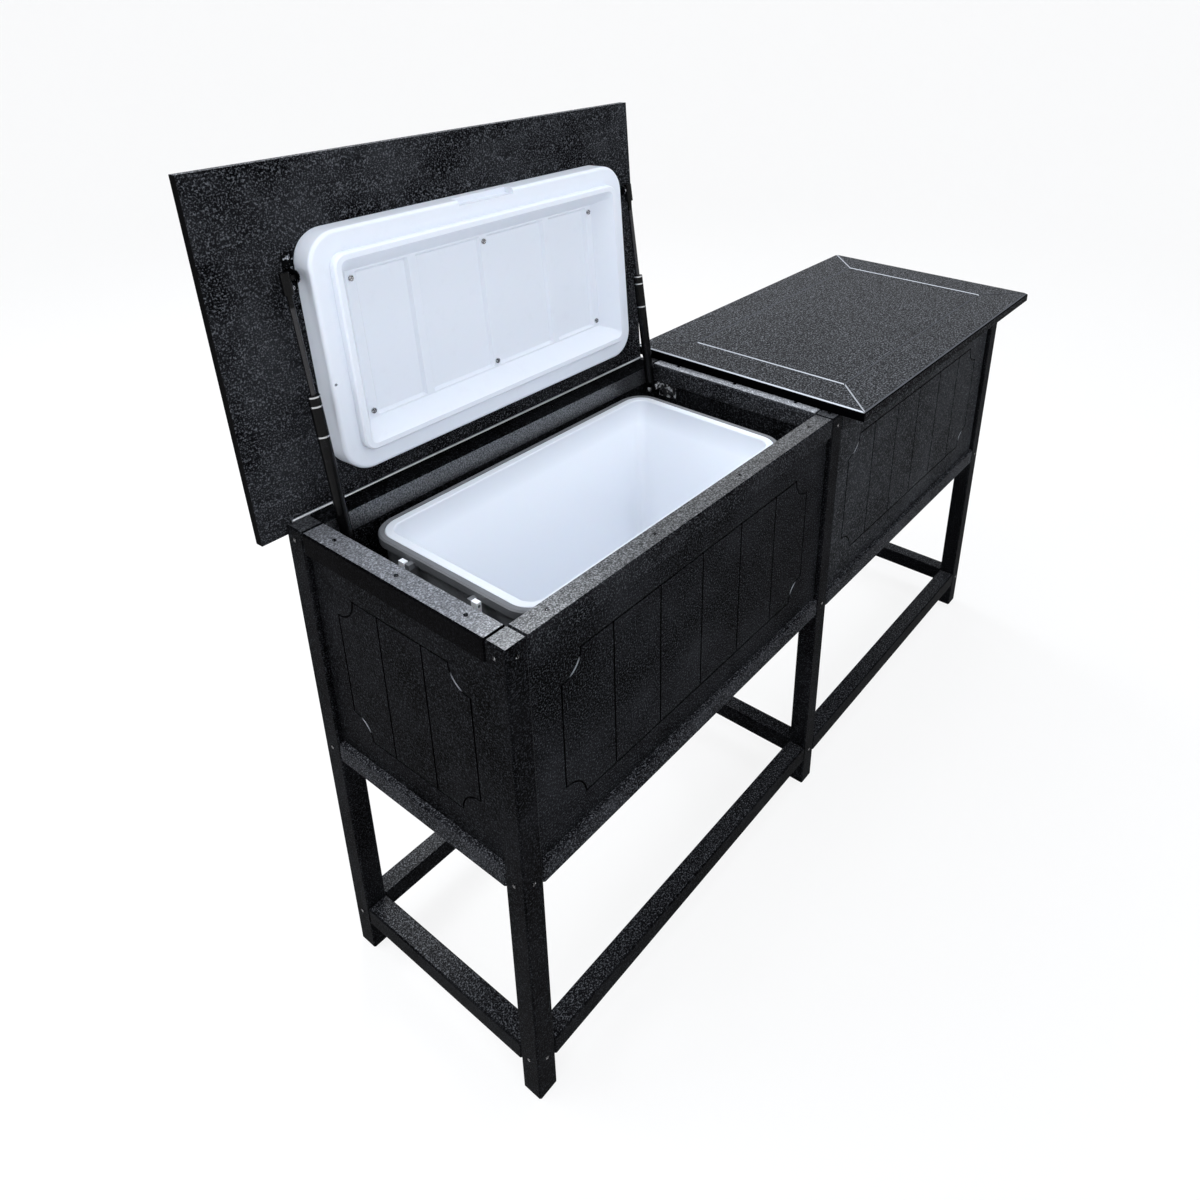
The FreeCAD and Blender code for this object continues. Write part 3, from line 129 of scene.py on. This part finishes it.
# Copy for the bottom rails, their sides painted lighter than the posts': painted light
LOW_RAIL = dict(
    POST,
    sides=((0.002, 0.002, 0.0024), (0.10, 0.103, 0.113)),
    dust_and_painted_light=((0.006, 0.006, 0.007), (0.16, 0.165, 0.18)),
    gloss=0.12,
    coat=1.5,
)
STRETCHER = dict(
    POST,
    dust_and_painted_light=((0.004, 0.004, 0.0046), (0.12, 0.124, 0.135)),
    gloss=0.12,
    coat=1.5,
)
# Copy for the middle rail: sides painted lighter, and its top painted near white, as painted light
MIDDLE_RAIL = dict(
    POST,
    sides=((0.003, 0.003, 0.0034), (0.12, 0.124, 0.135)),
    dust_and_painted_light=((0.18, 0.185, 0.2), (0.85, 0.87, 0.9)),
)

# Lumber by the start of a node's name: its look, and the side that takes the lighter top tones,
# dusty and painted light; on the back rail that is its upright front face, where that tone is
# painted light only
LUMBER = {
    "post": (POST, UP),
    "top_rail_back": (POST, FRONT),
    "top_rail_end": (END_RAIL, UP),
    "top_rail_front": (FRONT_RAIL, UP),
    "top_rail_middle": (MIDDLE_RAIL, UP),
    "bottom_rails": (LOW_RAIL, UP),
    "stretchers": (STRETCHER, UP),
}

# Skirt panels: look, side they face, distance of that face, and the side their painted glints look
# to
SKIRTS = {
    "skirt_front": (SKIRT, FRONT, SKIRT_FRONT, LEFT),
    "skirt_far": (FAR_SKIRT, FRONT, SKIRT_FRONT, LEFT),
    "skirt_back": (SKIRT, BACK, SKIRT_BACK, RIGHT),
    "skirt_left": (END_SKIRT, LEFT, SKIRT_END, FRONT),
    "skirt_right": (END_SKIRT, RIGHT, SKIRT_END, BACK),
}

# White plastic; the liner is painted lighter below the first height of its fade: painted light
# inside the tub
WHITES = {
    "white_liner": {
        "colour": (0.72, 0.745, 0.795), "fade": (0.80, 0.845), "inside_painted_light": (0.92, 0.94, 0.985),
    },
    "white_lid": {"colour": (0.75, 0.78, 0.84), "rough": 0.34},
    "white_handle": {"colour": (0.95, 0.96, 0.98)},
}

# Blackened metal: tone, tone of its bare spots, and the noise from which a spot starts and is full.
# The band, a height and half its width, is wholly bare.
BLACKENED = {
    "frame_screws": {
        "colour": (0.012, 0.012, 0.013), "bright": (0.5, 0.51, 0.53),
        "low": 0.6, "high": 0.66, "band": (0.834, 0.019),
    },
    "lid_screws": {
        "colour": (0.16, 0.16, 0.17), "bright": (0.7, 0.71, 0.73),
        "low": 0.5, "high": 0.6,
    },
    "bracket_steel": {
        "colour": (0.006, 0.006, 0.0065), "bright": (0.4, 0.41, 0.43),
        "low": 0.58, "high": 0.64, "scale": 160.0,
    },
    # The frame bracket's bare spots are partly matt and pale: wear, and also painted highlights
    "frame_bracket": {
        "colour": (0.05, 0.05, 0.053), "bright": (0.85, 0.86, 0.88),
        "low": 0.5, "high": 0.6, "scale": 90.0, "metal": 0.4,
    },
}

# Struts by the side of their lid: direction, and the stretch of the rod that is bare
STRUTS = {
    "left": (STRUT_OPEN, OPEN_SHAFT),
    "right": (STRUT_CLOSED, CLOSED_SHAFT),
}

# Lamps: place, aim, size in metres, radiance
LAMPS = {
    "back_light": ((1.15, 2.42, 3.28), (-0.8, 0.0, 0.9), (1.1, 1.1), 20.0),
    "left_back_light": ((-2.2, 2.0, 3.7), (0.0, 0.0, 0.9), (2.0, 1.2), 10.0),
    "left_light": ((-3.9, 0.4, 2.3), (0.0, 0.0, 0.9), (2.0, 2.0), 3.4),
    "front_light": ((-0.8, -4.2, 3.2), (0.0, 0.0, 0.9), (2.6, 2.0), 3.8),
    "top_light": ((-0.3, -0.2, 4.6), (-0.3, 0.0, 0.8), (2.6, 2.0), 3.0),
}
LAMP_COLOUR = (0.93, 0.96, 1.0)
WORLD_COLOUR, WORLD_STRENGTH = (0.86, 0.92, 1.0), 0.78
PAPER, PAPER_GLOW = (0.85, 0.85, 0.85), 0.85

# The photograph's camera: place in metres, turns in degrees, sensor and lens in millimetres
CAMERA_PLACE = (-1.431472, -0.940377, 1.647545)
CAMERA_TURNS = (65.4382, -0.6426, -52.8153)
SENSOR_WIDTH, LENS = 36.0, 28.723
SHIFT_X, SHIFT_Y = -0.0650, -0.1721
CAMERA_REACH = 50.0


class Shader:
    """A node material under construction, with short ways to add and join nodes.

    Scales of textures are per metre of the object, in the pose it is stored in.
    """

    def __init__(self, name):
        self.material = bpy.data.materials.new(name)
        self.material.use_nodes = True
        self.tree = self.material.node_tree
        self.surface = self.tree.nodes["Principled BSDF"]
        where = self.add("ShaderNodeTexCoord")
        self.place, self.outlook = where.outputs["Object"], where.outputs["Normal"]

    def add(self, kind, **settings):
        node = self.tree.nodes.new(kind)
        for key, value in settings.items():
            setattr(node, key, value)
        return node

    def join(self, output, socket):
        self.tree.links.new(output, socket)

    def fill(self, socket, value):
        """Set a socket to a number, or join it to an output."""
        if isinstance(value, bpy.types.NodeSocket):
            self.join(value, socket)
        else:
            socket.default_value = value

    def set(self, **values):
        """Set sockets of the surface by name, with _ for a space."""
        for key, value in values.items():
            self.fill(self.surface.inputs[key.replace("_", " ")], value)

    def compute(self, operation, a, b=0.0, c=0.0, clamp=False):
        node = self.add("ShaderNodeMath", operation=operation, use_clamp=clamp)
        for socket, value in zip(node.inputs, (a, b, c)):
            self.fill(socket, value)
        return node.outputs[0]

    def stretch(self, scale):
        """The place on the object, scaled by axis."""
        node = self.add("ShaderNodeMapping")
        self.join(self.place, node.inputs["Vector"])
        node.inputs["Scale"].default_value = scale
        return node.outputs[0]

    def noise(self, scale, detail=2.0, roughness=0.5, place=None):
        node = self.add("ShaderNodeTexNoise")
        self.join(place or self.place, node.inputs["Vector"])
        node.inputs["Scale"].default_value = scale
        node.inputs["Detail"].default_value = detail
        node.inputs["Roughness"].default_value = roughness
        return node.outputs["Fac"]

    def cells(self, scale, smooth=0.6):
        node = self.add("ShaderNodeTexVoronoi", feature="SMOOTH_F1")
        self.join(self.place, node.inputs["Vector"])
        node.inputs["Scale"].default_value = scale
        node.inputs["Smoothness"].default_value = smooth
        return node.outputs["Distance"]

    def spread(self, value, low, high, to_low=0.0, to_high=1.0):
        """Map low..high to to_low..to_high, and hold the ends beyond them."""
        node = self.add("ShaderNodeMapRange")
        names = ("Value", "From Min", "From Max", "To Min", "To Max")
        for name, number in zip(names, (value, low, high, to_low, to_high)):
            self.fill(node.inputs[name], number)
        return node.outputs[0]

    def blend(self, factor, first, second):
        node = self.add("ShaderNodeMix", data_type="RGBA")
        self.fill(node.inputs["Factor"], factor)
        for socket, colour in ((node.inputs["A"], first), (node.inputs["B"], second)):
            if isinstance(colour, bpy.types.NodeSocket):
                self.join(colour, socket)
            else:
                socket.default_value = (*colour, 1.0)
        return node.outputs["Result"]

    def bump(self, height, distance, strength=1.0, under=None):
        node = self.add("ShaderNodeBump")
        self.fill(node.inputs["Strength"], strength)
        node.inputs["Distance"].default_value = distance
        self.join(height, node.inputs["Height"])
        if under is not None:
            self.join(under, node.inputs["Normal"])
        return node.outputs[0]

    def facing(self, direction, least=0.85, most=0.98):
        """1 on faces that look in a direction, 0 on others."""
        dot = self.add("ShaderNodeVectorMath", operation="DOT_PRODUCT")
        self.join(self.outlook, dot.inputs[0])
        dot.inputs[1].default_value = direction
        return self.spread(dot.outputs["Value"], least, most)

    def along(self, direction, origin):
        """Distance of the surface point from an origin, along a direction."""
        shift = self.add("ShaderNodeVectorMath", operation="SUBTRACT")
        self.join(self.place, shift.inputs[0])
        shift.inputs[1].default_value = origin
        dot = self.add("ShaderNodeVectorMath", operation="DOT_PRODUCT")
        self.join(shift.outputs[0], dot.inputs[0])
        dot.inputs[1].default_value = direction
        return dot.outputs["Value"]

    def height(self):
        """Height of the surface point above the floor."""
        return self.along(UP, ORIGIN)


def pebbled(name, look, up=UP, cut=None, edge=None):
    """Black sheet or lumber with the pebble grain of moulded polyethylene.

    The faces towards up take a lighter tone, dusty and painted light, and are worn to a gloss.
    Where cut is given, as (direction, origin, low, high, glints), the surface at those depths is
    a smooth tool cut painted near black, painted shade, and each glint, (direction, least, most,
    tone), is a side of the cut painted pale, a painted highlight. Where edge is given, as
    (direction, tone), the board's rim is sawn smooth and dark, and painted paler towards that
    direction, painted light.
    """
    shade = Shader(name)
    grain = shade.noise(look["grain"], detail=2.0, roughness=0.6)
    pebbles = shade.cells(scale=look["grain"] * 0.8)
    fleck = shade.spread(grain, 0.45, 0.68)
    fleck = shade.compute("MULTIPLY", fleck, fleck)
    upper = shade.facing(up)
    clouds = shade.noise(scale=7.0, detail=4.0, roughness=0.6)
    patches = shade.spread(clouds, 0.4, 0.8, to_high=0.25)
    colour = shade.blend(patches, shade.blend(fleck, *look["sides"]), look["sides"][1])
    colour = shade.blend(upper, colour, shade.blend(fleck, *look["dust_and_painted_light"]))
    rough = shade.spread(grain, 0.3, 0.7, to_low=0.34, to_high=0.5)
    strength = GRAIN_STRENGTH
    if edge is not None:
        direction, pale = edge
        flat = shade.compute("MAXIMUM", upper, shade.facing(-up))
        rim = shade.blend(shade.facing(direction), SAWN, shade.blend(fleck, SAWN, pale))
        colour = shade.blend(flat, rim, colour)
        strength = shade.spread(flat, 0.0, 1.0, to_low=SAWN_STRENGTH, to_high=strength)
    if cut is not None:
        direction, origin, low, high, glints = cut
        depth = shade.along(direction, origin)
        below = shade.compute("LESS_THAN", depth, high)
        inside = shade.compute("MULTIPLY", below, shade.compute("GREATER_THAN", depth, low))
        tone = CUT_PAINTED_SHADE
        for side, least, most, glint in glints:
            tone = shade.blend(shade.facing(side, least, most), tone, glint)
        colour = shade.blend(inside, colour, tone)
        strength = shade.spread(inside, 0.0, 1.0, to_low=strength, to_high=CUT_STRENGTH)
    shade.set(Base_Color=colour, Roughness=rough, IOR=BLACK_IOR)
    gloss = look["gloss"]
    weight = shade.spread(grain, 0.35, 0.65, to_low=gloss * 0.4, to_high=gloss * 1.6)
    shade.set(Coat_Weight=shade.compute("MULTIPLY", upper, weight, clamp=True))
    shade.set(Coat_Roughness=COAT_ROUGHNESS, Coat_IOR=look["coat"])
    height = shade.compute("ADD", shade.compute("MULTIPLY", pebbles, 0.5), grain)
    shade.set(Normal=shade.bump(height, look["relief"], strength))
    return shade


def lid_board(name, bay):
    """The embossed board of a lid, with cuts in its grooves and along its bevel, painted as shade
    with painted glints.
    """
    angle = LID_ANGLE[bay]
    up = Vector((0.0, math.sin(angle), math.cos(angle)))
    front = Vector((0.0, -math.cos(angle), math.sin(angle)))
    glints = (
        ((front + up).normalized(), 0.9, 1.0, PAINTED_FRONT_GLINT),
        ((LEFT - 0.15 * front + up).normalized(), 0.78, 1.0, PAINTED_BRIGHT_GLINT),
    )
    return pebbled(name, BOARD[bay], up, (up, HINGE, *LID_CUTS, glints), (front, FRONT_EDGE_PAINTED_LIGHT[bay]))


def skirt_board(name, look, outward, distance, left):
    """A skirt panel, with cuts in its routed lines painted as shade; left is the side its painted
    glints look to.
    """
    glints = (((left + UP).normalized(), 0.93, 0.99, PAINTED_BRIGHT_GLINT),)
    return pebbled(name, look, cut=(outward, outward * distance, *SKIRT_CUTS, glints))


def white_plastic(name, colour, fade=None, inside_painted_light=None, rough=0.3):
    """Smooth moulded white plastic with a slight waviness and faint scuffs.

    Where fade is given, as two heights, the tone is painted lighter below them, as painted light.
    """
    shade = Shader(name)
    waves = shade.noise(scale=7.0)
    fine = shade.noise(scale=260.0)
    scuffs = shade.noise(scale=38.0, detail=5.0, roughness=0.7)
    dull = tuple(value * SCUFFED for value in colour)
    tone = shade.blend(shade.spread(scuffs, 0.55, 0.8), colour, dull)
    if fade is not None:
        tone = shade.blend(shade.spread(shade.height(), *fade), inside_painted_light, tone)
    shade.set(Base_Color=tone)
    rougher = rough + WORN_ROUGHER
    shade.set(Roughness=shade.spread(scuffs, 0.3, 0.8, to_low=rough, to_high=rougher))
    waviness = shade.bump(waves, distance=0.002, strength=0.2)
    shade.set(Normal=shade.bump(fine, distance=0.0001, strength=0.25, under=waviness))
    shade.set(Subsurface_Weight=0.06, Subsurface_Scale=0.01)
    return shade


def shell_plastic(name):
    """Charcoal cooler shell, finely grained."""
    shade = Shader(name)
    grain = shade.noise(scale=700.0, detail=3.0, roughness=0.6)
    shade.set(Base_Color=shade.blend(shade.noise(scale=14.0, detail=3.0), *SHELL_TONES))
    shade.set(Roughness=shade.spread(grain, 0.3, 0.7, to_low=0.38, to_high=0.58))
    shade.set(Normal=shade.bump(grain, distance=0.0004, strength=0.5))
    return shade


def foam(name):
    """Rigid cream foam with small closed cells."""
    shade = Shader(name)
    cells = shade.cells(scale=260.0, smooth=0.3)
    shade.set(Base_Color=shade.blend(shade.spread(cells, 0.1, 0.7), *FOAM_TONES))
    shade.set(Roughness=0.9)
    shade.set(Normal=shade.bump(cells, distance=0.0008, strength=0.6))
    return shade


def brushed(name, tones, rough, dull_below, edge):
    """Metal with fine drawn lines along X and slight stains, duller below a height."""
    shade = Shader(name)
    drawn = shade.stretch((20.0, 400.0, 400.0))
    lines = shade.noise(scale=3.0, detail=5.0, roughness=0.65, place=drawn)
    stains = shade.noise(scale=55.0, detail=4.0, roughness=0.6)
    tone = shade.blend(shade.spread(stains, 0.45, 0.8), *tones)
    low = shade.blend(shade.spread(lines, 0.3, 0.7), *DULL_STEEL)
    above = shade.spread(shade.height(), dull_below - edge, dull_below)
    shade.set(Base_Color=shade.blend(above, low, tone), Metallic=1.0)
    rougher = rough + BRUSHED_ROUGHER
    shade.set(Roughness=shade.spread(lines, 0.3, 0.7, to_low=rough, to_high=rougher))
    shade.set(Normal=shade.bump(lines, distance=0.0002, strength=0.3))
    return shade


def painted(name, rough, direction, middles, half, metal_tone):
    """Black enamel with a faint orange peel and dull patches, and bare metal on some stretches.

    These lie along a direction from the strut's foot, each half to both sides of its middle.
    """
    shade = Shader(name)
    peel = shade.noise(scale=520.0)
    wear = shade.noise(scale=60.0, detail=5.0, roughness=0.7)
    tone = shade.blend(shade.spread(wear, 0.55, 0.8), *ENAMEL)
    depth = shade.along(direction, STRUT_FOOT)
    bare = 0.0
    for middle in middles:
        bare = shade.compute("ADD", bare, shade.compute("COMPARE", depth, middle, half))
    tone = shade.blend(bare, tone, metal_tone)
    shade.set(Base_Color=tone, Metallic=bare, IOR=ENAMEL_IOR)
    rougher = rough + WORN_ROUGHER
    shade.set(Roughness=shade.spread(wear, 0.3, 0.8, to_low=rough, to_high=rougher))
    shade.set(Normal=shade.bump(peel, distance=0.0002, strength=0.35))
    return shade


def speckled(name, colour, bright, low, high, scale=650.0, metal=1.0, band=None):
    """Blackened steel rubbed bare in small spots, and wholly bare in a band of heights."""
    shade = Shader(name)
    spots = shade.spread(shade.noise(scale), low, high)
    tone = shade.blend(spots, colour, bright)
    if band is not None:
        within = shade.compute("COMPARE", shade.height(), *band)
        tone = shade.blend(within, tone, bright)
    shade.set(Base_Color=tone, Metallic=metal)
    shade.set(Roughness=shade.spread(spots, 0.0, 1.0, to_low=0.18, to_high=0.3))
    shade.set(Normal=shade.bump(spots, distance=0.0002, strength=0.4))
    return shade


FINISHES = {name: pebbled(name, look, up) for name, (look, up) in LUMBER.items()}
for name, panel in SKIRTS.items():
    FINISHES[name] = skirt_board(name, *panel)
for bay in ("left", "right"):
    FINISHES["lid_" + bay] = lid_board("lid_" + bay, bay)
FINISHES["cooler_shell"] = shell_plastic("cooler_shell")
FINISHES["foam"] = foam("foam")
FINISHES["hinge_steel"] = brushed(
    "hinge_steel", STEEL, STEEL_ROUGHNESS, DULL_LEAF_TOP, DULL_LEAF_EDGE
)
for name, look in WHITES.items():
    FINISHES[name] = white_plastic(name, **look)
for name, look in BLACKENED.items():
    FINISHES[name] = speckled(name, **look)
for side, (direction, shaft) in STRUTS.items():
    rod, cylinder = "strut_rod_" + side, "strut_cylinder_" + side
    FINISHES[rod] = painted(rod, ROD_ROUGHNESS, direction, *shaft, SHAFT_TONE)
    FINISHES[cylinder] = painted(cylinder, CYLINDER_ROUGHNESS, direction, *RINGS, RING_TONE)


def finish_of(node, slot):
    """The finish for a node of a slot: a part of its name tells where it stands.

    The plain boards of the skirt's slot, the deck and the divider, have the front panels' finish.
    """
    words = node.split("_")
    if slot == "lumber":
        return next(FINISHES[name] for name in LUMBER if node.startswith(name))
    if slot == "lid_board":
        return FINISHES["lid_" + words[-1]]
    if slot == "skirt_board":
        if node == "panel_front_right":
            return FINISHES["skirt_far"]
        side = words[2] if words[1] == "end" else words[1]
        return FINISHES.get("skirt_" + side, FINISHES["skirt_front"])
    if slot == "screw_steel":
        return FINISHES["_".join(words[:2])]
    if node.startswith("strut_frame_bracket"):
        return FINISHES["frame_bracket"]
    if slot in ("strut_cylinder", "strut_rod"):
        return FINISHES["_".join(words[:3])]
    return FINISHES[slot]


for entry in frame["record"]["subparts"]:
    node = frame["nodes"][entry["node"]]
    node.data.materials.clear()
    node.data.materials.append(finish_of(entry["node"], entry["material_slot"]).material)


def paper():
    """Matt pale paper that shows as near white, with the object's shadow kept faint."""
    shade = Shader("studio_paper")
    shade.set(Base_Color=(*PAPER, 1.0), Roughness=0.95, Specular_IOR_Level=0.1)
    path = shade.add("ShaderNodeLightPath")
    seen = shade.compute("MAXIMUM", path.outputs["Is Camera Ray"], path.outputs["Is Glossy Ray"])
    seen = shade.compute("MAXIMUM", seen, path.outputs["Is Transmission Ray"])
    glow = shade.add("ShaderNodeEmission")
    glow.inputs["Strength"].default_value = 1.0
    mix = shade.add("ShaderNodeMixShader")
    shade.join(shade.compute("MULTIPLY", seen, PAPER_GLOW), mix.inputs["Fac"])
    shade.join(shade.surface.outputs[0], mix.inputs[1])
    shade.join(glow.outputs[0], mix.inputs[2])
    shade.join(mix.outputs[0], shade.tree.nodes["Material Output"].inputs["Surface"])
    return shade


def cyclorama(flat=5.0, bend=2.5, wall=4.0, turns=96, steps=10):
    """A round floor that curves up into a pale wall on every side."""
    profile = [(flat, 0.0)]
    for step in range(1, steps + 1):
        turn = step / steps * math.pi / 2
        profile.append((flat + bend * math.sin(turn), bend * (1 - math.cos(turn))))
    profile.append((flat + bend, bend + wall))
    mesh = bmesh.new()
    centre = mesh.verts.new((0.0, 0.0, 0.0))
    angles = [2 * math.pi * index / turns for index in range(turns)]
    rings = [
        [mesh.verts.new((radius * math.cos(a), radius * math.sin(a), height)) for a in angles]
        for radius, height in profile
    ]
    for index in range(turns):
        after = (index + 1) % turns
        mesh.faces.new((centre, rings[0][index], rings[0][after]))
        for inner, outer in zip(rings, rings[1:]):
            mesh.faces.new((inner[index], outer[index], outer[after], inner[after]))
    for face in mesh.faces:
        face.smooth = True
    data = bpy.data.meshes.new("studio_floor")
    mesh.to_mesh(data)
    mesh.free()
    floor = bpy.data.objects.new("studio_floor", data)
    bpy.context.scene.collection.objects.link(floor)
    data.materials.append(paper().material)


def softbox(name, place, aim, size, radiance):
    """A rectangular lamp of an even radiance, turned towards a point."""
    data = bpy.data.lights.new(name, "AREA")
    data.shape = "RECTANGLE"
    data.size, data.size_y = size
    data.energy = radiance * math.pi * size[0] * size[1]
    data.color = LAMP_COLOUR
    lamp = bpy.data.objects.new(name, data)
    bpy.context.scene.collection.objects.link(lamp)
    lamp.location = place
    lamp.rotation_euler = (Vector(aim) - Vector(place)).to_track_quat("-Z", "Y").to_euler()


cyclorama()
for name, lamp in LAMPS.items():
    softbox(name, *lamp)

world = bpy.data.worlds.new("studio_world")
world.use_nodes = True
background = world.node_tree.nodes["Background"]
background.inputs["Color"].default_value = (*WORLD_COLOUR, 1.0)
background.inputs["Strength"].default_value = WORLD_STRENGTH
scene = bpy.context.scene
scene.world = world

camera_data = bpy.data.cameras.new("camera")
camera_data.sensor_width = SENSOR_WIDTH
camera_data.lens = LENS
camera_data.shift_x = SHIFT_X
camera_data.shift_y = SHIFT_Y
camera_data.clip_end = CAMERA_REACH
camera = bpy.data.objects.new("camera", camera_data)
camera.location = CAMERA_PLACE
camera.rotation_euler = Euler([math.radians(turn) for turn in CAMERA_TURNS], "XYZ")
scene.collection.objects.link(camera)
scene.camera = camera
scene.view_settings.view_transform = "Standard"
